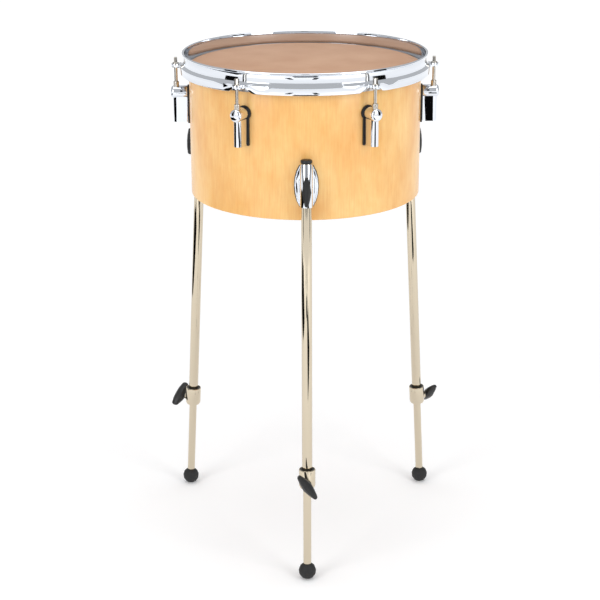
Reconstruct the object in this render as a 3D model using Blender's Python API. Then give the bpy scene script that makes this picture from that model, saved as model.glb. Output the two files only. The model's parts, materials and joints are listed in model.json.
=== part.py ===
"""Kettledrum: a plywood shell with a skin head, a flanged hoop pulled down by six rods, and three
telescopic legs.

Metres, +Z up, floor at z = 0. The origin is on the floor at the middle of the space that the drum
and its legs take, so the drum's own axis stands DRUM_AXIS_Y behind it. Places round the drum are
azimuths: 0 is the front (-Y), and they grow towards +X.
"""

import math

import bmesh
import bpy
from mathutils import Matrix, Vector

# Fits
GAP = 0.0003
RUNNING_GAP = 0.0003

# Drum axis, seen from the origin
DRUM_AXIS_Y = 0.0365

# Shell: a ply cylinder with an open bottom and a rounded bearing edge
RING_SIDES = 60
SHELL_RADIUS = 0.2025
SHELL_WALL = 0.0085
SHELL_BOTTOM = 0.638
BEARING_EDGE = 0.8644
EDGE_ROUND = 0.004
EDGE_INNER_DROP = 0.005
SHELL_CHAMFER = 0.0012

# Head: a skin drawn over the bearing edge and tucked between the shell and the flesh hoop
SKIN = 0.0008
SKIN_SKIRT_BOTTOM = 0.8535

# Flesh hoop: the square ring that the counterhoop presses down
FLESH_HOOP_OUTER = 0.2140
FLESH_HOOP_BOTTOM = 0.8529

# Counterhoop: rolled bead, upright wall, sloping step and apron
HOOP_TOP = 0.8872
HOOP_BEAD = 0.0024
HOOP_WALL_OUTER = 0.2125
HOOP_WALL_INNER = 0.2100
STEP_TOP = 0.8688
STEP_UNDER = 0.8622
APRON_TOP = 0.8642
APRON_OUTER = 0.2170
APRON_INNER = 0.2148
APRON_BOTTOM = 0.8508
APRON_EDGE = 0.0008
BEAD_SIDES = 5

# Ears of the counterhoop, one for each tension rod
ROD_COUNT = 6
FIRST_ROD_AZIMUTH = 30
ROD_CIRCLE = 0.2253
EAR_TOP = 0.8648
EAR_PLATE = 0.0030
EAR_SKIRT = 0.0017
EAR_END_RADIUS = 0.0079
EAR_FILLET = 0.0080
EAR_FILLET_SIDES = 4
EAR_END_SIDES = 6
EAR_ROOT_RADIUS = 0.2155
EAR_ROOT_HALF = 0.0180
# Lower edge of the skirt beside a rod: (across, height), which rises from the apron to the ear
SKIRT_EDGE = ((0.0240, 0.8513), (0.0200, 0.8530), (0.0165, 0.8558), (0.0130, 0.8582), (0.0095, 0.8592))

# Tension rods: M6, pressed flange and square head for a drum key
ROD_RADIUS = 0.003
ROD_SIDES = 12
ROD_END = 0.8045
FLANGE_RADIUS = 0.0058
FLANGE_HEIGHT = 0.0018
SQUARE_HEAD = 0.0062
SQUARE_HEAD_HEIGHT = 0.0094

# Lugs: a level cylinder for the swivel nut over a round-fronted column
LUG_AXIS = 0.8152
LUG_CYLINDER_RADIUS = 0.0110
LUG_CYLINDER_FRONT = 0.2346
LUG_EDGE_ROUND = 0.0048
LUG_CYLINDER_SIDES = 16
COLUMN_HALF = 0.0075
COLUMN_FRONT = 0.2313
COLUMN_BOTTOM = 0.7625
COLUMN_ROUND_SIDES = 6
GASKET = 0.003
GASKET_OVERHANG = 0.0018
GASKET_ROUND_SIDES = 12
NUT_RADIUS = 0.005
NUT_TOP = 0.8340
NUT_BOTTOM = 0.8060
ROD_POCKET_BOTTOM = 0.7990

# Bolts through the shell, with a washer and a head inside the drum
BOLT_RADIUS = 0.0025
BOLT_HOLE_RADIUS = 0.0029
BOLT_SIDES = 8
WASHER_RADIUS = 0.0065
WASHER = 0.0012
BOLT_HEAD_RADIUS = 0.0045
BOLT_HEAD = 0.0032
LUG_BOLT_HEIGHTS = (LUG_AXIS, 0.7740)

# Leg brackets: an oval plate bent to the shell, with a channel that the leg slides in
LEG_COUNT = 3
BRACKET_CENTRE = 0.698
OVAL_HALF_WIDTH = 0.0198
OVAL_HALF_HEIGHT = 0.0416
OVAL_SIDES = 20
BRACKET_GASKET = 0.0015
BRACKET_GASKET_OVERHANG = 0.0010
BRACKET_PLATE = 0.0016
BRACKET_RIM = 0.0010
BRACKET_RIM_WIDTH = 0.0018
CHANNEL_HALF = 0.0105
CHANNEL_BOTTOM = 0.667
CHANNEL_TOP = 0.7393
CHANNEL_BACK = 0.2052
BRACKET_BOLT_OFFSET = 0.0290
BOSS_RADIUS = 0.0070
BOSS_HEIGHT = 0.0020

# Legs: a tube that leans outwards, with a rod that slides in it
LEG_SIDES = 16
LEG_SPLAY = math.radians(3.47)
FOOT_SPREAD = 0.2629
FOOT_RADIUS = 0.0155
FOOT_FLAT = 0.0005
FOOT_RINGS = 6
TUBE_RADIUS = 0.0090
TUBE_BORE = 0.0075
TUBE_TOP = 0.7400
ROD_LEG_RADIUS = 0.0072
ROD_LEG_BORE = 0.0060
ROD_LEG_LENGTH = 0.360
ROD_LEG_START = 0.0040
CAP_RADIUS = 0.0097
CAP_HEIGHT = 0.0066
CAP_STEM_RADIUS = 0.0071
CAP_STEM_LENGTH = 0.012
COLLAR_BOTTOM = 0.1720
COLLAR_TOP = 0.2055
COLLAR_RADIUS = 0.0145
COLLAR_EDGE = 0.0006
COLLAR_SEAT_RADIUS = 0.0130
COLLAR_SEAT_DEPTH = 0.0030
COLLAR_TAPER = 0.0045
COLLAR_END_RADIUS = 0.0128
TUBE_END = 0.1945
GRIP_RING = 0.0022
COLLAR_BOSS_RADIUS = 0.0074
COLLAR_BOSS_FRONT = 0.0157

# Wing screws
WING_AXIS_ON_BRACKET = 0.6960
WING_AXIS_ON_COLLAR = 0.1835
SCREW_RADIUS = 0.0030
SPACER_RADIUS = 0.0047
SPACER = 0.0029
BRACKET_SPACER = 0.0012
SCREW_SIDES = 12
BRACKET_WING = {"length": 0.0490, "width": 0.0154, "depth": 0.0135}
COLLAR_WING = {"length": 0.0510, "width": 0.0175, "depth": 0.0195}
# How far each collar's wing leans from the leg's line, in degrees
COLLAR_WING_LEANS = (37.0, 41.0, 53.0)


def clear_scene():
    for obj in list(bpy.data.objects):
        bpy.data.objects.remove(obj)


def finish_of(name, colour, roughness, metallic):
    """A material with the piece's plain colour and gloss."""
    material = bpy.data.materials.new(name)
    material.use_nodes = True
    shader = material.node_tree.nodes["Principled BSDF"]
    shader.inputs["Base Color"].default_value = (*colour, 1.0)
    shader.inputs["Roughness"].default_value = roughness
    shader.inputs["Metallic"].default_value = metallic
    return material


def empty(name, parent, matrix):
    """A frame that pieces are placed in."""
    frame = bpy.data.objects.new(name, None)
    frame.empty_display_size = 0.02
    frame.parent = parent
    frame.matrix_local = matrix
    bpy.context.scene.collection.objects.link(frame)
    return frame


def object_of(name, mesh):
    obj = bpy.data.objects.new(name, mesh)
    bpy.context.scene.collection.objects.link(obj)
    return obj


def mesh_of(bm, name):
    """The finished mesh of a bmesh whose faces close: outward normals and smooth round sides."""
    bmesh.ops.recalc_face_normals(bm, faces=bm.faces)
    mesh = bpy.data.meshes.new(name)
    bm.to_mesh(mesh)
    bm.free()
    return mesh


def smooth(mesh, angle=35):
    mesh.shade_smooth()
    mesh.set_sharp_from_angle(angle=math.radians(angle))
    return mesh


def place(name, mesh, finish, parent, matrix=None):
    """A named piece that shares its mesh with its copies and takes its place from its frame."""
    obj = object_of(name, mesh)
    if not mesh.materials:
        mesh.materials.append(finish)
    obj.parent = parent
    obj.matrix_local = matrix or Matrix.Identity(4)
    return obj


def turned(name, profile, sides, matrix=None, phase=0.0):
    """A solid turned about Z from a profile of (radius, z). A profile that starts and ends on the
    axis makes a solid, and any other closes on itself and makes a ring."""
    bm = bmesh.new()
    points = [bm.verts.new((radius, 0.0, z)) for radius, z in profile]
    for start, end in zip(points, points[1:]):
        bm.edges.new((start, end))
    if profile[0][0] > 0:
        bm.edges.new((points[-1], points[0]))
    bmesh.ops.spin(
        bm,
        geom=bm.verts[:] + bm.edges[:],
        cent=(0, 0, 0),
        axis=(0, 0, 1),
        angle=math.tau,
        steps=sides,
        use_merge=True,
    )
    bmesh.ops.remove_doubles(bm, verts=bm.verts, dist=1e-6)
    bm.transform((matrix or Matrix.Identity(4)) @ Matrix.Rotation(phase, 4, "Z"))
    return object_of(name, mesh_of(bm, name))


def bar(name, radius, start, end, sides, matrix=None, phase=0.0):
    """A round bar along Z."""
    profile = [(0.0, end), (radius, end), (radius, start), (0.0, start)]
    return turned(name, profile, sides, matrix, phase)


def prism(name, outline, start, end, matrix=None):
    """An outline of (x, y) points, extruded along Z."""
    bm = bmesh.new()
    face = bm.faces.new([bm.verts.new((x, y, start)) for x, y in outline])
    grown = bmesh.ops.extrude_face_region(bm, geom=[face])
    moved = [item for item in grown["geom"] if isinstance(item, bmesh.types.BMVert)]
    bmesh.ops.translate(bm, verts=moved, vec=(0, 0, end - start))
    bm.transform(matrix or Matrix.Identity(4))
    return object_of(name, mesh_of(bm, name))


def lofted(name, rings, matrix=None):
    """A solid skinned over rings of as many points each, its two ends closed by flat faces. An end
    ring of one point closes to that point."""
    bm = bmesh.new()
    rows = [[bm.verts.new(point) for point in ring] for ring in rings]
    for one, two in zip(rows, rows[1:]):
        count = max(len(one), len(two))
        for i in range(count):
            after = (i + 1) % count
            if len(one) == 1:
                bm.faces.new((one[0], two[i], two[after]))
            elif len(two) == 1:
                bm.faces.new((one[i], two[0], one[after]))
            else:
                bm.faces.new((one[i], two[i], two[after], one[after]))
    for row in (rows[0], rows[-1]):
        if len(row) > 2:
            bm.faces.new(row)
    bm.transform(matrix or Matrix.Identity(4))
    return object_of(name, mesh_of(bm, name))


def combine(body, others, operation):
    """Joins the other shapes to a body, or cuts them out of it, and clears them away."""
    for other in others:
        modifier = body.modifiers.new(operation.lower(), "BOOLEAN")
        modifier.operation = operation
        modifier.object = other
    graph = bpy.context.evaluated_depsgraph_get()
    mesh = bpy.data.meshes.new_from_object(body.evaluated_get(graph))
    body.modifiers.clear()
    body.data = mesh
    for other in others:
        bpy.data.objects.remove(other)
    return body


def taken(body, angle=35):
    """The mesh of a finished shape, whose own object is cleared away."""
    mesh = smooth(body.data, angle)
    bpy.data.objects.remove(body)
    return mesh


def arc(centre, radius, start, end, steps):
    """Points on an arc from one angle to another, in degrees."""
    angles = [math.radians(start + (end - start) * i / steps) for i in range(steps + 1)]
    return [(centre[0] + radius * math.cos(a), centre[1] + radius * math.sin(a)) for a in angles]


def station(azimuth):
    """The frame at an azimuth: X outwards from the drum's axis, Y to the right as seen from outside."""
    return Matrix.Rotation(math.radians(azimuth - 90), 4, "Z")


def radial(height):
    """Turns Z to run outwards, at a height on the shell."""
    return Matrix.Translation((0, 0, height)) @ Matrix.Rotation(math.radians(90), 4, "Y")


def upright_plate(height=0.0):
    """Maps an outline of (across, up) to a plate that faces outwards, extruded along the radius."""
    axes = Matrix(((0, 0, 1, 0), (1, 0, 0, 0), (0, 1, 0, 0), (0, 0, 0, 1)))
    return Matrix.Translation((0, 0, height)) @ axes


def facet_distance(radius):
    """How far the flat of the faceted drum lies from the axis."""
    return radius * math.cos(math.pi / RING_SIDES)


def leg_frame():
    """The leg's own frame in its station: Z up the leg from the middle of the foot, X outwards."""
    foot = Matrix.Translation((FOOT_SPREAD, 0, FOOT_RADIUS - FOOT_FLAT))
    return foot @ Matrix.Rotation(-LEG_SPLAY, 4, "Y")


def along_leg(height):
    """Distance up the leg from the middle of the foot to a height over the floor."""
    return (height - FOOT_RADIUS + FOOT_FLAT) / math.cos(LEG_SPLAY)


def drum_ring(name, profile):
    """A ring of the drum, whose flats face the lugs and the leg brackets."""
    return turned(name, profile, RING_SIDES, phase=math.pi / RING_SIDES)


def edge_arc(offset, steps=3):
    """The bearing edge's rounding, from the outer wall to the top, moved out by an offset."""
    centre = (SHELL_RADIUS - EDGE_ROUND, BEARING_EDGE - EDGE_ROUND)
    return arc(centre, EDGE_ROUND + offset, 90, 0, steps)


def lug_azimuths():
    return [FIRST_ROD_AZIMUTH + 360 / ROD_COUNT * i for i in range(ROD_COUNT)]


def leg_azimuths():
    return [360 / LEG_COUNT * i for i in range(LEG_COUNT)]


def bolt(height, start):
    """A bolt from inside the drum: head, washer and shank, which ends in the piece that it holds."""
    washer_face = facet_distance(SHELL_RADIUS - SHELL_WALL) - GAP
    head = washer_face - WASHER
    profile = [
        (0.0, start),
        (BOLT_RADIUS, start),
        (BOLT_RADIUS, washer_face),
        (WASHER_RADIUS, washer_face),
        (WASHER_RADIUS, head),
        (BOLT_HEAD_RADIUS, head),
        (BOLT_HEAD_RADIUS, head - BOLT_HEAD),
        (0.0, head - BOLT_HEAD),
    ]
    return turned("bolt", profile, BOLT_SIDES, radial(height))


def bolt_hole(height, start=0.185, end=0.215):
    return bar("bolt_hole", BOLT_HOLE_RADIUS, start, end, BOLT_SIDES, radial(height))


def bracket_bolt_heights():
    return (BRACKET_CENTRE - BRACKET_BOLT_OFFSET, BRACKET_CENTRE + BRACKET_BOLT_OFFSET)


def make_shell(finish, drum):
    """The ply cylinder, drilled for the bolts of the lugs and the leg brackets."""
    inner = SHELL_RADIUS - SHELL_WALL
    profile = [
        *edge_arc(0.0),
        (SHELL_RADIUS, SHELL_BOTTOM + SHELL_CHAMFER),
        (SHELL_RADIUS - SHELL_CHAMFER, SHELL_BOTTOM),
        (inner + SHELL_CHAMFER, SHELL_BOTTOM),
        (inner, SHELL_BOTTOM + SHELL_CHAMFER),
        (inner, BEARING_EDGE - EDGE_INNER_DROP),
    ]
    shell = drum_ring("shell_blank", profile)
    holes = []
    for azimuths, heights in (
        (lug_azimuths(), LUG_BOLT_HEIGHTS),
        (leg_azimuths(), bracket_bolt_heights()),
    ):
        for azimuth in azimuths:
            for height in heights:
                hole = bolt_hole(height)
                hole.matrix_world = station(azimuth)
                holes.append(hole)
    combine(shell, holes, "DIFFERENCE")
    place("shell", taken(shell), finish, drum)


def make_drumhead(finish, drum):
    """The skin: flat over the shell, rounded over the bearing edge, with a skirt down the outside."""
    skirt_inner = SHELL_RADIUS + GAP
    profile = [
        (0.0, BEARING_EDGE + GAP + SKIN),
        *edge_arc(GAP + SKIN),
        (skirt_inner + SKIN, SKIN_SKIRT_BOTTOM),
        (skirt_inner, SKIN_SKIRT_BOTTOM),
        *reversed(edge_arc(GAP)),
        (0.0, BEARING_EDGE + GAP),
    ]
    place("drumhead", taken(drum_ring("skin", profile)), finish, drum)


def make_flesh_hoop(finish, drum):
    """The ring that the skin is lapped on, square in section."""
    inner = SHELL_RADIUS + GAP + SKIN + GAP
    top = STEP_UNDER - GAP
    profile = [
        (FLESH_HOOP_OUTER, top),
        (FLESH_HOOP_OUTER, FLESH_HOOP_BOTTOM),
        (inner, FLESH_HOOP_BOTTOM),
        (inner, top),
    ]
    place("flesh_hoop", taken(drum_ring("ring", profile)), finish, drum)


def hoop_profile():
    """The pressed section of the counterhoop, from its rolled bead down the outside and back up."""
    bead_centre = (HOOP_WALL_OUTER - HOOP_BEAD / 6, HOOP_TOP - HOOP_BEAD)
    bead_end = math.degrees(math.acos((HOOP_WALL_OUTER - bead_centre[0]) / HOOP_BEAD))
    bead_start = 360 - math.degrees(math.acos((HOOP_WALL_INNER - bead_centre[0]) / HOOP_BEAD))
    return [
        *arc(bead_centre, HOOP_BEAD, bead_start, -bead_end, BEAD_SIDES),
        (HOOP_WALL_OUTER, STEP_TOP),
        (APRON_OUTER, APRON_TOP),
        (APRON_OUTER, APRON_BOTTOM + APRON_EDGE),
        (APRON_OUTER - APRON_EDGE, APRON_BOTTOM),
        (APRON_INNER + APRON_EDGE, APRON_BOTTOM),
        (APRON_INNER, APRON_BOTTOM + APRON_EDGE),
        (APRON_INNER, STEP_UNDER),
        (HOOP_WALL_INNER, STEP_UNDER),
    ]


def ear_outline(inset, root_radius, root_half):
    """The ear seen from above: the apron's skirt swings out in a hollow curve, goes round the rod
    and swings back. The inset is how far inside the skirt's face the outline lies."""
    end_radius = EAR_END_RADIUS - inset
    hollow = EAR_FILLET + inset
    side = EAR_END_RADIUS + EAR_FILLET
    centre = (math.sqrt((APRON_OUTER + EAR_FILLET) ** 2 - side**2), side)
    touch = math.degrees(math.atan2(-centre[1], -centre[0])) % 360
    curve = arc(centre, hollow, touch, 270, EAR_FILLET_SIDES)
    half = [(root_radius, root_half), *curve]
    end = arc((ROD_CIRCLE, 0.0), end_radius, 90, -90, EAR_END_SIDES)
    return [*half, *end, *[(x, -y) for x, y in reversed(half)]]


def ear():
    """One ear: solid from the apron's edge up to the level of the step."""
    outline = ear_outline(0.0, EAR_ROOT_RADIUS, EAR_ROOT_HALF)
    return prism("ear", outline, APRON_BOTTOM, EAR_TOP)


def ear_pocket():
    """The hollow under an ear, which leaves its plate and a skirt round it."""
    outline = ear_outline(EAR_SKIRT, FLESH_HOOP_OUTER - GAP, EAR_ROOT_HALF)
    return prism("pocket", outline, APRON_BOTTOM - 0.004, EAR_TOP - EAR_PLATE)


def ear_hole():
    rod_axis = Matrix.Translation((ROD_CIRCLE, 0, 0))
    return bar("hole", ROD_RADIUS + 2 * GAP, 0.85, 0.88, ROD_SIDES, rod_axis)


def skirt_cut():
    """What is cut away below an ear, so that the skirt's lower edge rises to it."""
    low = APRON_BOTTOM - 0.002
    start = SKIRT_EDGE[0][0] + 0.002
    side = [(start, low), *SKIRT_EDGE]
    outline = [*side, *[(-x, z) for x, z in reversed(side)]]
    return prism("skirt_cut", outline, 0.2135, 0.2400, upright_plate())


def copies(shape, azimuths):
    """The same shape at each azimuth."""
    made = []
    for azimuth in azimuths:
        copy = object_of(shape.name, shape.data)
        copy.matrix_world = station(azimuth)
        made.append(copy)
    bpy.data.objects.remove(shape)
    return made


def make_counterhoop(finish, drum):
    """The flanged hoop: a turned section whose apron swings out into an ear at each rod."""
    hoop = drum_ring("hoop", hoop_profile())
    combine(hoop, copies(ear(), lug_azimuths()), "UNION")
    for cutter in (ear_pocket(), skirt_cut(), ear_hole()):
        combine(hoop, copies(cutter, lug_azimuths()), "DIFFERENCE")
    place("counterhoop", taken(hoop), finish, drum)


def tension_rod_mesh():
    """Square head, flange and shaft, with the origin on the rod's axis at the ear's top."""
    flange = EAR_TOP + GAP
    shoulder = flange + FLANGE_HEIGHT
    tip = ROD_RADIUS - 0.0008
    profile = [
        (0.0, shoulder),
        (FLANGE_RADIUS - 0.0006, shoulder),
        (FLANGE_RADIUS, flange + FLANGE_HEIGHT / 2),
        (FLANGE_RADIUS, flange),
        (ROD_RADIUS, flange),
        (ROD_RADIUS, ROD_END + 0.001),
        (tip, ROD_END),
        (0.0, ROD_END),
    ]
    rod = turned("rod", profile, ROD_SIDES)
    half = SQUARE_HEAD / 2
    bevel = 0.0006
    top = shoulder + SQUARE_HEAD_HEIGHT
    rings = [
        [(x * h, y * h, z) for x, y in ((-1, -1), (1, -1), (1, 1), (-1, 1))]
        for h, z in (
            (half, shoulder - 0.0008),
            (half, top - bevel),
            (half - bevel, top),
        )
    ]
    combine(rod, [lofted("head", rings)], "UNION")
    rod.data.transform(Matrix.Translation((0, 0, -EAR_TOP)))
    return taken(rod)


def swivel_nut_mesh():
    """The threaded sleeve in the lug's cylinder, whose collar shows above it."""
    bore = ROD_RADIUS + RUNNING_GAP
    chamfer = 0.0008
    profile = [
        (NUT_RADIUS - chamfer, NUT_TOP),
        (NUT_RADIUS, NUT_TOP - chamfer),
        (NUT_RADIUS, NUT_BOTTOM),
        (bore, NUT_BOTTOM),
        (bore, NUT_TOP),
    ]
    return taken(turned("nut", profile, ROD_SIDES))


def gasket_front():
    return facet_distance(SHELL_RADIUS) + GAP + GASKET


def lug_mesh():
    """The lug casting, with its two bolts: cylinder, column, and the bore for nut and rod."""
    back = gasket_front() + GAP
    edge_centre = (LUG_CYLINDER_RADIUS - LUG_EDGE_ROUND, LUG_CYLINDER_FRONT - LUG_EDGE_ROUND)
    profile = [
        (0.0, LUG_CYLINDER_FRONT + 0.0006),
        *arc(edge_centre, LUG_EDGE_ROUND, 90, 0, 3),
        (LUG_CYLINDER_RADIUS, back),
        (0.0, back),
    ]
    lug = turned("lug", profile, LUG_CYLINDER_SIDES, radial(LUG_AXIS))
    centre = (COLUMN_FRONT - COLUMN_HALF, 0.0)
    front = arc(centre, COLUMN_HALF, -90, 90, COLUMN_ROUND_SIDES)
    outline = [(back + 0.0004, -COLUMN_HALF), *front, (back + 0.0004, COLUMN_HALF)]
    column = prism("column", outline, COLUMN_BOTTOM, LUG_AXIS)
    bolts = [bolt(height, back + 0.004) for height in LUG_BOLT_HEIGHTS]
    combine(lug, [column, *bolts], "UNION")
    rod_axis = Matrix.Translation((ROD_CIRCLE, 0, 0))
    pocket = ROD_RADIUS + 2 * RUNNING_GAP
    bores = [
        bar("nut_bore", NUT_RADIUS + GAP, NUT_BOTTOM - GAP, 0.84, ROD_SIDES, rod_axis),
        bar("rod_bore", pocket, ROD_POCKET_BOTTOM, 0.82, ROD_SIDES, rod_axis),
    ]
    combine(lug, bores, "DIFFERENCE")
    return taken(lug)


def lug_gasket_mesh():
    """The rubber seat of the lug: the lug's outline with a margin, and its two bolt holes."""
    radius = LUG_CYLINDER_RADIUS + GASKET_OVERHANG
    half = COLUMN_HALF + GASKET_OVERHANG
    bottom = COLUMN_BOTTOM - GASKET_OVERHANG
    corner = 0.0012
    meet = math.degrees(math.acos(half / radius))
    outline = [
        (-half, bottom + corner),
        (-half + corner, bottom),
        (half - corner, bottom),
        (half, bottom + corner),
        *arc((0.0, LUG_AXIS), radius, -meet, 180 + meet, GASKET_ROUND_SIDES),
    ]
    back = facet_distance(SHELL_RADIUS) + GAP
    gasket = prism("gasket", outline, back, gasket_front(), upright_plate())
    combine(gasket, [bolt_hole(height) for height in LUG_BOLT_HEIGHTS], "DIFFERENCE")
    return taken(gasket)


def make_lugs(chrome, rubber, steel, drum):
    """At each azimuth: gasket, lug, swivel nut and tension rod."""
    lug, gasket = lug_mesh(), lug_gasket_mesh()
    nut, rod = swivel_nut_mesh(), tension_rod_mesh()
    for number, azimuth in enumerate(lug_azimuths(), start=1):
        frame = empty(f"lug_place_{number}", drum, station(azimuth))
        place(f"lug_{number}", lug, chrome, frame)
        place(f"lug_gasket_{number}", gasket, rubber, frame)
        place(f"swivel_nut_{number}", nut, steel, frame, Matrix.Translation((ROD_CIRCLE, 0, 0)))
        rod_top = Matrix.Translation((ROD_CIRCLE, 0, EAR_TOP))
        place(f"tension_rod_{number}", rod, steel, frame, rod_top)


def oval_ring(half_width, half_height, radius):
    """Points of an oval drawn on a cylinder about the drum's axis, at the bracket's height."""
    if half_width == 0:
        return [(radius, 0.0, BRACKET_CENTRE)]
    ring = []
    for i in range(OVAL_SIDES):
        turn = math.tau * i / OVAL_SIDES
        across = half_width * math.cos(turn) / radius
        height = BRACKET_CENTRE + half_height * math.sin(turn)
        ring.append((radius * math.cos(across), radius * math.sin(across), height))
    return ring


def oval_rings(margin, radius, inner_share=0.5):
    """Rings from the middle of the oval out to its edge, near enough to bend with the shell."""
    width, height = OVAL_HALF_WIDTH + margin, OVAL_HALF_HEIGHT + margin
    return [
        oval_ring(0, 0, radius),
        oval_ring(width * inner_share, height * inner_share, radius),
        oval_ring(width, height, radius),
    ]


def bracket_gasket_mesh():
    """The thin rubber oval between the bracket and the shell."""
    back = SHELL_RADIUS + GAP
    rings = [
        *oval_rings(BRACKET_GASKET_OVERHANG, back),
        *reversed(oval_rings(BRACKET_GASKET_OVERHANG, back + BRACKET_GASKET)),
    ]
    gasket = lofted("gasket", rings)
    combine(gasket, [bolt_hole(height) for height in bracket_bolt_heights()], "DIFFERENCE")
    return taken(gasket)


def channel_section(height):
    """The channel's outline square to the leg: straight sides and a half-round front."""
    up = along_leg(height)
    back = (CHANNEL_BACK - FOOT_SPREAD + up * math.sin(LEG_SPLAY)) / math.cos(LEG_SPLAY)
    front = arc((0.0, 0.0), CHANNEL_HALF, -90, 90, LEG_SIDES // 2)
    outline = [(back, -CHANNEL_HALF), *front, (back, CHANNEL_HALF)]
    return [(x, y, up) for x, y in outline]


def leg_bracket_mesh():
    """The bracket: an oval plate with a raised rim, a channel for the leg, the boss of the wing
    screw, and two bolts into the drum."""
    back = SHELL_RADIUS + GAP + BRACKET_GASKET + GAP
    field, rim = back + BRACKET_PLATE, back + BRACKET_PLATE + BRACKET_RIM
    inner_width = OVAL_HALF_WIDTH - BRACKET_RIM_WIDTH
    inner_height = OVAL_HALF_HEIGHT - BRACKET_RIM_WIDTH
    step = 0.0006
    rings = [
        *oval_rings(0.0, back),
        oval_ring(OVAL_HALF_WIDTH, OVAL_HALF_HEIGHT, rim - step),
        oval_ring(OVAL_HALF_WIDTH - step, OVAL_HALF_HEIGHT - step, rim),
        oval_ring(inner_width, inner_height, rim),
        oval_ring(inner_width - step, inner_height - step, field),
        oval_ring(inner_width / 2, inner_height / 2, field),
        oval_ring(0, 0, field),
    ]
    bracket = lofted("bracket", rings)
    leg = leg_frame()
    channel = lofted("channel", [channel_section(CHANNEL_BOTTOM), channel_section(CHANNEL_TOP)], leg)
    screw_axis = leg @ radial(along_leg(WING_AXIS_ON_BRACKET))
    face = CHANNEL_HALF + BOSS_HEIGHT
    boss = bar("boss", BOSS_RADIUS, CHANNEL_HALF - 0.004, face, SCREW_SIDES, screw_axis)
    bolts = [bolt(height, back + BRACKET_PLATE / 2) for height in bracket_bolt_heights()]
    combine(bracket, [channel, boss, *bolts], "UNION")
    low, high = along_leg(CHANNEL_BOTTOM) - 0.01, along_leg(CHANNEL_TOP) + 0.01
    bore = bar("bore", TUBE_RADIUS + RUNNING_GAP, low, high, LEG_SIDES, leg)
    hole_radius = SCREW_RADIUS + RUNNING_GAP
    screw_hole = bar("screw_hole", hole_radius, 0.004, face + 0.004, SCREW_SIDES, screw_axis)
    combine(bracket, [bore, screw_hole], "DIFFERENCE")
    return taken(bracket)


def wing_section(reach, half_width, back, front):
    """One cross-section of a wing, at a distance along it: eight points round its bevelled edge."""
    shares = (
        (-0.55, 0.0),
        (0.55, 0.0),
        (0.95, 0.25),
        (1.0, 0.70),
        (0.45, 1.0),
        (-0.45, 1.0),
        (-1.0, 0.70),
        (-0.95, 0.25),
    )
    return [(back + (front - back) * deep, half_width * wide, reach) for wide, deep in shares]


def wing_screw_mesh(tip, seat, spacer, size):
    """A wing screw along X: shank from tip to seat, a turned spacer, and a moulded diamond wing."""
    hub = seat + spacer
    profile = [
        (0.0, hub + size["depth"] / 2),
        (SPACER_RADIUS, hub + size["depth"] / 2),
        (SPACER_RADIUS, seat),
        (SCREW_RADIUS, seat),
        (SCREW_RADIUS, tip),
        (0.0, tip),
    ]
    screw = turned("screw", profile, SCREW_SIDES, radial(0.0))
    half_length, half_width = size["length"] / 2, size["width"] / 2
    # Shares of half the length, half the width, and the depth at which the back and front lie
    stations = (
        (-1.0, 0.26, 0.42, 0.78),
        (-0.93, 0.42, 0.30, 0.90),
        (-0.45, 0.78, 0.10, 1.0),
        (0.0, 1.0, 0.0, 1.0),
        (0.45, 0.78, 0.10, 1.0),
        (0.93, 0.42, 0.30, 0.90),
        (1.0, 0.26, 0.42, 0.78),
    )
    rings = [
        wing_section(
            half_length * reach,
            half_width * width,
            hub + size["depth"] * back,
            hub + size["depth"] * front,
        )
        for reach, width, back, front in stations
    ]
    combine(screw, [lofted("wing", rings)], "UNION")
    return taken(screw, 40)


def leg_tube_mesh():
    """The upper tube, open at both ends."""
    top, end = along_leg(TUBE_TOP), along_leg(TUBE_END)
    edge = 0.0004
    profile = [
        (TUBE_RADIUS - edge, top),
        (TUBE_RADIUS, top - edge),
        (TUBE_RADIUS, end),
        (TUBE_BORE, end),
        (TUBE_BORE, top),
    ]
    return taken(turned("tube", profile, LEG_SIDES))


def tube_cap_mesh():
    """The plug in the tube's top, with a head wider than the tube."""
    seat = along_leg(TUBE_TOP) + GAP
    top = seat + CAP_HEIGHT
    dome = 0.0009
    profile = [
        (0.0, top),
        (CAP_RADIUS - 2 * dome, top - dome / 2),
        (CAP_RADIUS, top - 2 * dome),
        (CAP_RADIUS, seat + dome),
        (CAP_RADIUS - dome, seat),
        (CAP_STEM_RADIUS, seat),
        (CAP_STEM_RADIUS, seat - CAP_STEM_LENGTH),
        (0.0, seat - CAP_STEM_LENGTH),
    ]
    return taken(turned("cap", profile, LEG_SIDES))


def leg_collar_mesh():
    """The clamp collar on the tube's lower end: seat of the grip ring, tapered end and bores."""
    top, bottom = along_leg(COLLAR_TOP), along_leg(COLLAR_BOTTOM)
    tube_seat = along_leg(TUBE_END) - GAP
    tube_bore, rod_bore = TUBE_RADIUS + GAP, ROD_LEG_RADIUS + RUNNING_GAP
    seat = top - COLLAR_SEAT_DEPTH
    profile = [
        (COLLAR_RADIUS - COLLAR_EDGE, top),
        (COLLAR_RADIUS, top - COLLAR_EDGE),
        (COLLAR_RADIUS, bottom + COLLAR_TAPER),
        (COLLAR_END_RADIUS, bottom),
        (rod_bore, bottom),
        (rod_bore, tube_seat),
        (tube_bore, tube_seat),
        (tube_bore, seat),
        (COLLAR_SEAT_RADIUS, seat),
        (COLLAR_SEAT_RADIUS, top),
    ]
    collar = turned("collar", profile, LEG_SIDES)
    screw_axis = radial(along_leg(WING_AXIS_ON_COLLAR))
    boss = bar(
        "boss", COLLAR_BOSS_RADIUS, COLLAR_RADIUS - 0.004, COLLAR_BOSS_FRONT, SCREW_SIDES, screw_axis
    )
    combine(collar, [boss], "UNION")
    hole_radius = SCREW_RADIUS + RUNNING_GAP
    hole = bar("hole", hole_radius, 0.004, COLLAR_BOSS_FRONT + 0.004, SCREW_SIDES, screw_axis)
    combine(collar, [hole], "DIFFERENCE")
    return taken(collar)


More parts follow.
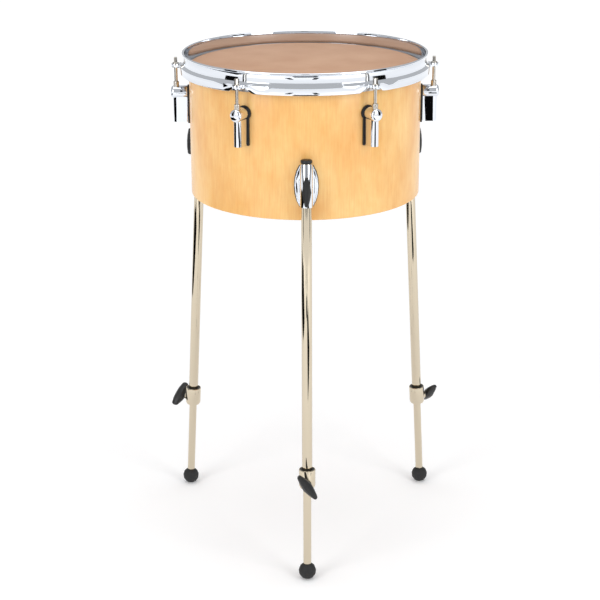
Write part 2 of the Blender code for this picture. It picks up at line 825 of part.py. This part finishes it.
def grip_ring_mesh():
    """The black ring let into the collar's top, round the tube."""
    bottom = along_leg(COLLAR_TOP) - COLLAR_SEAT_DEPTH + GAP
    top = bottom + GRIP_RING
    inner, outer = TUBE_RADIUS + GAP, COLLAR_SEAT_RADIUS - GAP
    profile = [(outer, top), (outer, bottom), (inner, bottom), (inner, top)]
    return taken(turned("ring", profile, LEG_SIDES))


def leg_rod_mesh():
    """The lower rod, a tube that slides in the upper one and ends in the foot."""
    start, end = ROD_LEG_START, ROD_LEG_START + ROD_LEG_LENGTH
    edge = 0.0005
    profile = [
        (ROD_LEG_RADIUS - edge, end),
        (ROD_LEG_RADIUS, end - edge),
        (ROD_LEG_RADIUS, start),
        (ROD_LEG_BORE, start),
        (ROD_LEG_BORE, end),
    ]
    return taken(turned("rod", profile, LEG_SIDES))


def foot_mesh():
    """The rubber ball, with a small flat where it stands and a socket for the rod."""
    drop = FOOT_RADIUS - FOOT_FLAT
    start = -math.degrees(math.asin(drop / FOOT_RADIUS))
    ball = arc((0.0, 0.0), FOOT_RADIUS, 90, start, FOOT_RINGS)
    foot = turned("foot", [(0.0, FOOT_RADIUS), *ball[1:], (0.0, -drop)], LEG_SIDES)
    foot.data.transform(Matrix.Rotation(LEG_SPLAY, 4, "Y"))
    socket = bar("socket", ROD_LEG_RADIUS + GAP, ROD_LEG_START - GAP, 0.03, LEG_SIDES)
    combine(foot, [socket], "DIFFERENCE")
    return taken(foot)


def make_legs(chrome, nickel, rubber, plastic, drum):
    """At each leg: bracket and gasket on the shell, and the leg in its own leaning frame."""
    bracket, gasket = leg_bracket_mesh(), bracket_gasket_mesh()
    tube, cap, collar = leg_tube_mesh(), tube_cap_mesh(), leg_collar_mesh()
    ring, rod, foot = grip_ring_mesh(), leg_rod_mesh(), foot_mesh()
    bracket_seat = CHANNEL_HALF + BOSS_HEIGHT + GAP
    bracket_tip = TUBE_RADIUS + GAP
    collar_tip = ROD_LEG_RADIUS + GAP
    bracket_wing = wing_screw_mesh(bracket_tip, bracket_seat, BRACKET_SPACER, BRACKET_WING)
    collar_wing = wing_screw_mesh(collar_tip, COLLAR_BOSS_FRONT + GAP, SPACER, COLLAR_WING)
    for number, azimuth in enumerate(leg_azimuths(), start=1):
        place_frame = empty(f"leg_place_{number}", drum, station(azimuth))
        place(f"leg_bracket_{number}", bracket, chrome, place_frame)
        place(f"bracket_gasket_{number}", gasket, rubber, place_frame)
        leg = empty(f"leg_axis_{number}", place_frame, leg_frame())
        place(f"leg_tube_{number}", tube, nickel, leg)
        place(f"tube_cap_{number}", cap, plastic, leg)
        place(f"leg_rod_{number}", rod, nickel, leg)
        place(f"foot_{number}", foot, rubber, leg)
        place(f"leg_collar_{number}", collar, nickel, leg)
        place(f"grip_ring_{number}", ring, plastic, leg)
        at_bracket = Matrix.Translation((0, 0, along_leg(WING_AXIS_ON_BRACKET)))
        place(f"bracket_wing_screw_{number}", bracket_wing, plastic, leg, at_bracket)
        lean = Matrix.Rotation(math.radians(COLLAR_WING_LEANS[number - 1]), 4, "X")
        at_collar = Matrix.Translation((0, 0, along_leg(WING_AXIS_ON_COLLAR))) @ lean
        place(f"collar_wing_screw_{number}", collar_wing, plastic, leg, at_collar)


def main():
    clear_scene()
    drum = empty("drum_axis", None, Matrix.Translation(Vector((0, DRUM_AXIS_Y, 0))))
    wood = finish_of("lacquered_ply", (0.80, 0.47, 0.17), 0.35, 0.0)
    skin = finish_of("skin", (0.60, 0.38, 0.24), 0.60, 0.0)
    chrome = finish_of("chrome_plate", (0.80, 0.82, 0.85), 0.08, 1.0)
    nickel = finish_of("nickel_plate", (0.75, 0.70, 0.60), 0.15, 1.0)
    steel = finish_of("plated_steel", (0.62, 0.60, 0.58), 0.25, 1.0)
    rubber = finish_of("black_rubber", (0.02, 0.02, 0.02), 0.70, 0.0)
    plastic = finish_of("black_plastic", (0.03, 0.03, 0.03), 0.45, 0.0)
    make_shell(wood, drum)
    make_drumhead(skin, drum)
    make_flesh_hoop(steel, drum)
    make_counterhoop(chrome, drum)
    make_lugs(chrome, rubber, steel, drum)
    make_legs(chrome, nickel, rubber, plastic, drum)


main()
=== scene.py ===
# %% [markdown]
# # A kettledrum on three legs, photographed in a white studio
#
# The construction comes packed, as 58 solids in one frame. This script gives them their looks: it
# copies each solid, rounds its edges, gives it a real surface, and sets up the studio that lights
# it. It is written as a lesson, one step to a cell.

import json
import math

import bmesh
import bpy
from mathutils import Matrix, Vector


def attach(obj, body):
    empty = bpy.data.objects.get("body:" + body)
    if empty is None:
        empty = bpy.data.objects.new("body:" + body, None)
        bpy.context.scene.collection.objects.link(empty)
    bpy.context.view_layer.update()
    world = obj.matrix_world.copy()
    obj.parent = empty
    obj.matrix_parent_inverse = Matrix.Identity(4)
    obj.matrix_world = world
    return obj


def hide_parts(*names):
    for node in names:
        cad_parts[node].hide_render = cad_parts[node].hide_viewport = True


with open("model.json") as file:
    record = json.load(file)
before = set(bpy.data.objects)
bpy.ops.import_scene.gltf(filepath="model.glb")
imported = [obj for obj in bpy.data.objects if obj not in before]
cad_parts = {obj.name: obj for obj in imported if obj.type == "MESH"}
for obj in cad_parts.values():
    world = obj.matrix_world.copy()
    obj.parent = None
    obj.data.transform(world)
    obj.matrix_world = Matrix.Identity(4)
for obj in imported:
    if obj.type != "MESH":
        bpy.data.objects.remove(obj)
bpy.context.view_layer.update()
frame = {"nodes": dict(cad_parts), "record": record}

# %% [markdown]
# ## Small tools for shaders
#
# Colours are written the way a picker shows them, in sRGB, and turned to the linear values that
# the renderer works in. `add` makes one node with its settings and its links, so a material below
# reads as a short list of what it is made of. Patterns are sized by how wide their marks are on the
# real surface, in millimetres.

# %% Colours
def linear(code):
    """The linear colour of an sRGB hex code, with an alpha of one."""
    parts = [int(code[i : i + 2], 16) / 255 for i in (1, 3, 5)]
    return (*[c / 12.92 if c <= 0.04045 else ((c + 0.055) / 1.055) ** 2.4 for c in parts], 1.0)


# %% Nodes
def fill(tree, node, **sockets):
    """Gives a node's sockets a value, or an output to link from. _0 is the first socket."""
    for name, value in sockets.items():
        socket = node.inputs[int(name[1:])] if name[1:].isdigit() else node.inputs[name.replace("_", " ")]
        if isinstance(value, bpy.types.NodeSocket):
            tree.links.new(value, socket)
        else:
            socket.default_value = value


def add(tree, kind, settings=None, **sockets):
    """Adds a node with its settings and its sockets."""
    node = tree.nodes.new(kind)
    for name, value in (settings or {}).items():
        setattr(node, name, value)
    fill(tree, node, **sockets)
    return node


def new_material(name, **sockets):
    """A material with a Principled shader, and its tree."""
    material = bpy.data.materials.new(name)
    material.use_nodes = True
    shader = material.node_tree.nodes["Principled BSDF"]
    fill(material.node_tree, shader, **sockets)
    return material, material.node_tree, shader


# %% Patterns
MM_PER_METRE = 1000


def pattern_space(tree, *widths_mm):
    """Object coordinates in which a mark one unit wide has these real widths along X, Y and Z."""
    place = add(tree, "ShaderNodeTexCoord").outputs["Object"]
    scale = [MM_PER_METRE / width for width in widths_mm]
    return add(tree, "ShaderNodeMapping", _0=place, Scale=scale).outputs[0]


def tone(tree, pattern, low, high, dark, light):
    """A colour that goes from dark to light while the pattern goes from low to high."""
    share = add(tree, "ShaderNodeMapRange", Value=pattern, From_Min=low, From_Max=high).outputs[0]
    colours = {"_6": linear(dark), "_7": linear(light)}
    return add(tree, "ShaderNodeMix", {"data_type": "RGBA"}, _0=share, **colours).outputs[2]

# %% [markdown]
# ## Wood
#
# The shell is bent ply with a maple veneer whose grain stands upright. Three scales make it: broad
# clouds where the lacquer has gone warmer, fine upright pores, and the small bright eyes that maple
# shows. Clear lacquer lies over it as a coat, so the highlight is sharper than the wood beneath.
# Real pores are a tenth of a millimetre wide: these are wider, so that they show at this distance.

# %% Lacquered maple
CLOUD_MM = (58.8, 58.8, 100)
PORE_MM = (2.38, 2.38, 38.5)
EYE_MM = (13.3, 13.3, 20.8)
PORE_SHARE = 0.20
EYE_SHARE = 0.30
PORE_DEPTH = 0.00004


def lacquered_maple():
    """Maple veneer under clear lacquer."""
    material, tree, shader = new_material(
        "maple_veneer_clear_lacquered", Roughness=0.46, Coat_Weight=0.55, Coat_Roughness=0.16
    )
    clouds = add(tree, "ShaderNodeTexNoise", Vector=pattern_space(tree, *CLOUD_MM), Scale=1.0, Detail=4.0)
    pores = add(tree, "ShaderNodeTexNoise", Vector=pattern_space(tree, *PORE_MM), Scale=1.0, Detail=6.0)
    eyes = add(tree, "ShaderNodeTexNoise", Vector=pattern_space(tree, *EYE_MM), Scale=1.0, Detail=2.0)
    wood = tone(tree, clouds.outputs["Fac"], 0.30, 0.72, "#E9AC5C", "#F8CD84")
    fleck = tone(tree, pores.outputs["Fac"], 0.30, 0.60, "#E0A356", "#FFFFFF")
    glint = tone(tree, eyes.outputs["Fac"], 0.45, 0.80, "#FFFFFF", "#FFE3B0")
    multiply = {"data_type": "RGBA", "blend_type": "MULTIPLY"}
    grained = add(tree, "ShaderNodeMix", multiply, _0=PORE_SHARE, _6=wood, _7=fleck).outputs[2]
    finished = add(tree, "ShaderNodeMix", multiply, _0=EYE_SHARE, _6=grained, _7=glint).outputs[2]
    relief = add(
        tree, "ShaderNodeBump", Height=pores.outputs["Fac"], Distance=PORE_DEPTH, Strength=0.5
    )
    fill(tree, shader, Base_Color=finished, Normal=relief.outputs[0])
    return material

# %% [markdown]
# ## Skin
#
# The head is an even tan skin, hardly shiny. Faint clouds a few centimetres wide and a fine tooth,
# drawn a millimetre wide so that it shows, keep it from looking like card.

# %% Drum skin
SKIN_CLOUD_MM = (62.5, 62.5, 62.5)
SKIN_TOOTH_MM = (1.11, 1.11, 1.11)
SKIN_TOOTH_DEPTH = 0.00005


def drum_skin():
    """An even tan skin."""
    material, tree, shader = new_material(
        "tan_drum_skin_stretched", Roughness=0.62, Specular_IOR_Level=0.35
    )
    cloud_space = pattern_space(tree, *SKIN_CLOUD_MM)
    tooth_space = pattern_space(tree, *SKIN_TOOTH_MM)
    clouds = add(tree, "ShaderNodeTexNoise", Vector=cloud_space, Scale=1.0, Detail=5.0)
    tooth = add(tree, "ShaderNodeTexNoise", Vector=tooth_space, Scale=1.0, Detail=3.0)
    colour = tone(tree, clouds.outputs["Fac"], 0.30, 0.70, "#BF9476", "#CAA284")
    relief = add(
        tree, "ShaderNodeBump", Height=tooth.outputs["Fac"], Distance=SKIN_TOOTH_DEPTH, Strength=0.6
    )
    fill(tree, shader, Base_Color=colour, Normal=relief.outputs[0])
    return material

# %% [markdown]
# ## Metals
#
# Chrome on pressed and cast parts is neutral to blue and mirror-sharp. The leg tubes are
# nickel-plated steel, which is warmer and a little softer. The turned rods and nuts are duller, and
# the aluminium hoop under the counterhoop is the dullest. The metal under a plate is never quite
# flat, which bends the reflections a little: a wave about 17 mm long does that.

# %% Metals
PLATE_WAVE_MM = (16.7, 16.7, 16.7)
PLATE_WAVE_DEPTH = 0.00002


def plated(name, colour, roughness):
    """Bright metal with a slight wave in it."""
    material, tree, shader = new_material(
        name, Base_Color=linear(colour), Metallic=1.0, Roughness=roughness
    )
    wave = add(
        tree, "ShaderNodeTexNoise", Vector=pattern_space(tree, *PLATE_WAVE_MM), Scale=1.0, Detail=2.0
    )
    relief = add(
        tree, "ShaderNodeBump", Height=wave.outputs["Fac"], Distance=PLATE_WAVE_DEPTH, Strength=0.5
    )
    fill(tree, shader, Normal=relief.outputs[0])
    return material

# %% [markdown]
# ## Black parts
#
# Moulded plastic has a spark-eroded texture and catches light on its ridges. Rubber is duller and
# its grain is coarser. Both grains are drawn about a millimetre wide, so that they show.

# %% Rubber and plastic
def moulded(name, colour, roughness, grain_mm, depth):
    """A black moulding with a grain of one width all round."""
    material, tree, shader = new_material(name, Base_Color=linear(colour), Roughness=roughness)
    grain_space = pattern_space(tree, grain_mm, grain_mm, grain_mm)
    grain = add(tree, "ShaderNodeTexNoise", Vector=grain_space, Scale=1.0, Detail=4.0)
    relief = add(tree, "ShaderNodeBump", Height=grain.outputs["Fac"], Distance=depth, Strength=0.6)
    fill(tree, shader, Normal=relief.outputs[0])
    return material


MATERIALS = {
    "ply_shell": lacquered_maple(),
    "skin_head": drum_skin(),
    "hoop_metal": plated("drawn_aluminium_hoop", "#B9BABC", 0.28),
    "chrome_plate": plated("chrome_plate_polished", "#E4E8EE", 0.045),
    "rod_steel": plated("nickel_plated_steel_turned", "#C9C4BC", 0.16),
    "nickel_plate": plated("bright_nickel_plate_drawn_tube", "#D2C6B0", 0.07),
    "black_rubber": moulded("black_rubber_moulded", "#1B1B1C", 0.62, 1.43, 0.00008),
    "black_plastic": moulded("black_plastic_spark_eroded", "#19191A", 0.42, 0.91, 0.00006),
}
print("materials", [m.name for m in MATERIALS.values()])

# %% [markdown]
# ## Dressing the pieces
#
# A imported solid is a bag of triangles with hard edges. Each piece is made from a copy of it: the
# points are merged, flat faces joined again, sharp edges rounded by the radius that its making
# leaves, and its round sides shaded smooth. It could be modelled again from nothing, but the solid
# already has the right shape, and only its edges and its surface are missing. The solid then stands
# aside, and the dressed piece rides on the same body.

# %% Edge radii
# In millimetres: cast parts are softer than turned ones. A zero leaves the edges alone.
EDGE_MM = {
    "shell": 0.0,
    "drumhead": 0.0,
    "counterhoop": 0.35,
    "flesh_hoop": 0.5,
    "lug_gasket": 0.5,
    "lug": 0.6,
    "swivel_nut": 0.25,
    "tension_rod": 0.3,
    "leg_bracket": 0.3,
    "bracket_gasket": 0.3,
    "leg_tube": 0.25,
    "tube_cap": 0.3,
    "leg_collar": 0.35,
    "grip_ring": 0.2,
    "leg_rod": 0.25,
    "foot": 0.0,
    "bracket_wing_screw": 0.6,
    "collar_wing_screw": 0.6,
}
print("edge radii", min(EDGE_MM.values()), "to", max(EDGE_MM.values()), "mm")

# %% Each solid's body and material slot
BODY_OF = {
    node: body for body, nodes in frame["record"]["behaviour"]["bodies"].items() for node in nodes
}
SLOT_OF = {entry["node"]: entry["material_slot"] for entry in frame["record"]["subparts"]}

# %% A solid's mesh, merged
MERGE_DISTANCE = 1e-6
FLAT_ANGLE = math.radians(0.4)


def merged_mesh(node):
    """The solid's mesh with its points merged and its flat faces joined."""
    mesh = frame["nodes"][node].data.copy()
    mesh.name = node
    bm = bmesh.new()
    bm.from_mesh(mesh)
    bmesh.ops.remove_doubles(bm, verts=bm.verts, dist=MERGE_DISTANCE)
    bmesh.ops.dissolve_limit(
        bm, angle_limit=FLAT_ANGLE, verts=bm.verts, edges=bm.edges, delimit={"NORMAL"}
    )
    bm.to_mesh(mesh)
    bm.free()
    return mesh


# %% The dressed pieces
SHARP_ANGLE = math.radians(32)
EDGE_SEGMENTS = 2


def family(node):
    """The node's name without its number."""
    stem, _, number = node.rpartition("_")
    return stem if number.isdigit() else node


def dress(node):
    """A finished piece in place of a solid."""
    mesh = merged_mesh(node)
    mesh.materials.clear()
    mesh.materials.append(MATERIALS[SLOT_OF[node]])
    piece = bpy.data.objects.new(f"{node}_finished", mesh)
    bpy.context.scene.collection.objects.link(piece)
    edge = EDGE_MM[family(node)] / MM_PER_METRE
    if edge:
        bevel = piece.modifiers.new("edges", "BEVEL")
        bevel.width = edge
        bevel.segments = EDGE_SEGMENTS
        bevel.limit_method = "ANGLE"
        bevel.angle_limit = SHARP_ANGLE
    graph = bpy.context.evaluated_depsgraph_get()
    finished = bpy.data.meshes.new_from_object(piece.evaluated_get(graph))
    piece.modifiers.clear()
    piece.data = finished
    finished.shade_smooth()
    finished.set_sharp_from_angle(angle=SHARP_ANGLE)
    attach(piece, BODY_OF[node])
    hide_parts(node)
    return piece


pieces = {node: dress(node) for node in sorted(frame["nodes"])}
print("dressed", len(pieces), "faces", sum(len(p.data.polygons) for p in pieces.values()))

# %% [markdown]
# ## The floor
#
# A sweep of white paper runs under the drum. Far from the lamps it would go grey, so a faint glow
# of its own grows with the distance and keeps it white to the horizon, while the shadows stay under
# the feet.

# %% White sweep
FLOOR_SIZE = 40.0
FACING_UP = (0, 0, 1)
GLOW_STARTS_AT = 0.6
GLOW_FULL_AT = 5.0
GLOW_NEAR = 0.10
GLOW_FAR = 0.50


def card(name, size, location, target, material):
    """A rectangle that faces a target."""
    mesh = bpy.data.meshes.new(name)
    w, h = size[0] / 2, size[1] / 2
    mesh.from_pydata([(-w, -h, 0), (w, -h, 0), (w, h, 0), (-w, h, 0)], [], [(0, 1, 2, 3)])
    mesh.materials.append(material)
    obj = bpy.data.objects.new(name, mesh)
    obj.location = location
    obj.rotation_euler = (Vector(target) - Vector(location)).to_track_quat("Z", "Y").to_euler()
    bpy.context.scene.collection.objects.link(obj)
    return obj


def sweep_paper():
    """White paper that glows a little more the further off it is."""
    material, tree, shader = new_material(
        "white_sweep_paper", Base_Color=linear("#FFFFFF"), Roughness=0.9, Emission_Color=linear("#FFFFFF")
    )
    place = add(tree, "ShaderNodeTexCoord").outputs["Object"]
    distance = add(tree, "ShaderNodeVectorMath", {"operation": "LENGTH"}, _0=place).outputs["Value"]
    glow = add(
        tree,
        "ShaderNodeMapRange",
        Value=distance,
        From_Min=GLOW_STARTS_AT,
        From_Max=GLOW_FULL_AT,
        To_Min=GLOW_NEAR,
        To_Max=GLOW_FAR,
    )
    fill(tree, shader, Emission_Strength=glow.outputs["Result"])
    return material


card("floor", (FLOOR_SIZE, FLOOR_SIZE), (0, 0, 0), FACING_UP, sweep_paper())
print("floor", FLOOR_SIZE, "m square")

# %% [markdown]
# ## Dark things to mirror
#
# Metal shows whatever stands round it, so a white room alone makes it look like plaster. Upright
# parts mirror the floor in front of them, so black cloth lies there: far off for the hoop, nearer
# for the brackets and the tubes, and to the left for the tubes' left edges. Three upright cards
# give the rims something dark as well. The cloth neither shows nor takes light from the set.

# %% Black cloth
# Each strip's left, right, near and far edge in metres.
CLOTH_STRIPS = {
    "cloth_for_hoop_left": (-0.86, -0.62, -2.45, -3.4),
    "cloth_for_hoop_right": (0.34, 0.57, -2.45, -3.4),
    "cloth_for_brackets": (-0.42, 0.42, -1.75, -2.32),
    "cloth_for_tubes": (0.18, 0.9, -0.75, -1.75),
    "cloth_for_left_edges": (-2.6, -1.1, 0.9, -1.2),
}
# Each card's width and height, and the place of its middle.
CLOTH_CARDS = {
    "dark_behind_camera": ((0.42, 2.0), (-0.01, -3.3, 2.2)),
    "dark_left": ((0.9, 3.2), (-3.4, -1.2, 1.7)),
    "dark_right": ((0.9, 3.2), (3.4, -1.2, 1.7)),
}
CLOTH_ABOVE_FLOOR = 0.004
CARD_AIM = 1 / 3

black_cloth, _, _ = new_material(
    "black_studio_cloth", Base_Color=linear("#0A0A0A"), Roughness=1.0, Specular_IOR_Level=0.0
)


def cloth_card(name, size, location, target):
    """Black cloth that only mirrors show."""
    obj = card(name, size, location, target, black_cloth)
    obj.visible_camera = False
    obj.visible_shadow = False
    obj.visible_diffuse = False


for name, (left, right, near, far) in CLOTH_STRIPS.items():
    x, y = (left + right) / 2, (near + far) / 2
    cloth_card(name, (right - left, abs(far - near)), (x, y, CLOTH_ABOVE_FLOOR), (x, y, 1.0))
for name, (size, (x, y, z)) in CLOTH_CARDS.items():
    cloth_card(name, size, (x, y, z), (x * CARD_AIM, 0, z))
print("cloth", len(CLOTH_STRIPS), "strips and", len(CLOTH_CARDS), "cards")

# %% [markdown]
# ## Light
#
# Two tall softboxes at the camera's sides and one overhead give the soft light of a catalogue
# picture. The world fills in round them, and the camera itself sees it as plain white.

# %% Softboxes and world
# Each softbox's width and height, the place of its middle, and its watts.
SOFTBOXES = {
    "left_softbox": ((1.4, 2.4), (-2.2, -2.3, 1.9), 34),
    "right_softbox": ((1.4, 2.4), (2.2, -2.3, 1.9), 34),
    "top_softbox": ((2.6, 2.6), (0, 0.2, 3.4), 30),
}
SOFTBOX_TARGET = (0, 0, 0.6)
FILL_COLOUR = "#F3F4F6"
FILL_STRENGTH = 0.62


def softbox(name, size, location, watts):
    """A rectangular lamp that faces the drum."""
    light = bpy.data.lights.new(name, "AREA")
    light.shape = "RECTANGLE"
    light.size, light.size_y = size
    light.energy = watts
    obj = bpy.data.objects.new(name, light)
    obj.location = location
    away = Vector(location) - Vector(SOFTBOX_TARGET)
    obj.rotation_euler = away.to_track_quat("Z", "Y").to_euler()
    bpy.context.scene.collection.objects.link(obj)


def white_world():
    """Soft fill for the set, and plain white for the camera."""
    world = bpy.data.worlds.new("studio_white")
    world.use_nodes = True
    tree = world.node_tree
    tree.nodes.clear()
    rays = add(tree, "ShaderNodeLightPath")
    around = add(tree, "ShaderNodeBackground", Color=linear(FILL_COLOUR), Strength=FILL_STRENGTH)
    seen = add(tree, "ShaderNodeBackground", Color=linear("#FFFFFF"), Strength=1.0)
    by_ray = rays.outputs["Is Camera Ray"]
    mixed = add(tree, "ShaderNodeMixShader", _0=by_ray, _1=around.outputs[0], _2=seen.outputs[0])
    add(tree, "ShaderNodeOutputWorld", Surface=mixed.outputs[0])
    return world


for name, (size, location, watts) in SOFTBOXES.items():
    softbox(name, size, location, watts)
bpy.context.scene.world = white_world()
print("softboxes", len(SOFTBOXES))

# %% [markdown]
# ## Camera
#
# Fitted to the photograph: the hoop's ellipse, the shell, the feet and the legs' lean all agree on a
# lens of 95 mm on a 36 mm square, 2.7 m away and looking 19 degrees down. Angles are in radians,
# and the place is measured from the drum's axis.

# %% Camera
DRUM_AXIS = Vector((0.0, 0.0365, 0.0))
LENS_MM = 95.22
SENSOR_MM = 36.0
PITCH = 0.3327
YAW = 0.0057
ROLL = -0.0033
CAMERA_PLACE = Vector((-0.010, -2.7495, 1.3777))
NEAREST_SEEN = 0.1

camera = bpy.data.objects.new("camera", bpy.data.cameras.new("camera"))
camera.data.lens = LENS_MM
camera.data.sensor_width = SENSOR_MM
camera.data.clip_start = NEAREST_SEEN
turn = Matrix.Translation(DRUM_AXIS) @ Matrix.Rotation(-YAW, 4, "Z")
aim = Matrix.Rotation(math.pi / 2 - PITCH, 4, "X") @ Matrix.Rotation(ROLL, 4, "Z")
camera.matrix_world = turn @ Matrix.Translation(CAMERA_PLACE) @ aim
bpy.context.scene.collection.objects.link(camera)
bpy.context.scene.camera = camera
bpy.context.scene.view_settings.view_transform = "Standard"
print("camera at", [round(x, 3) for x in camera.matrix_world.translation])
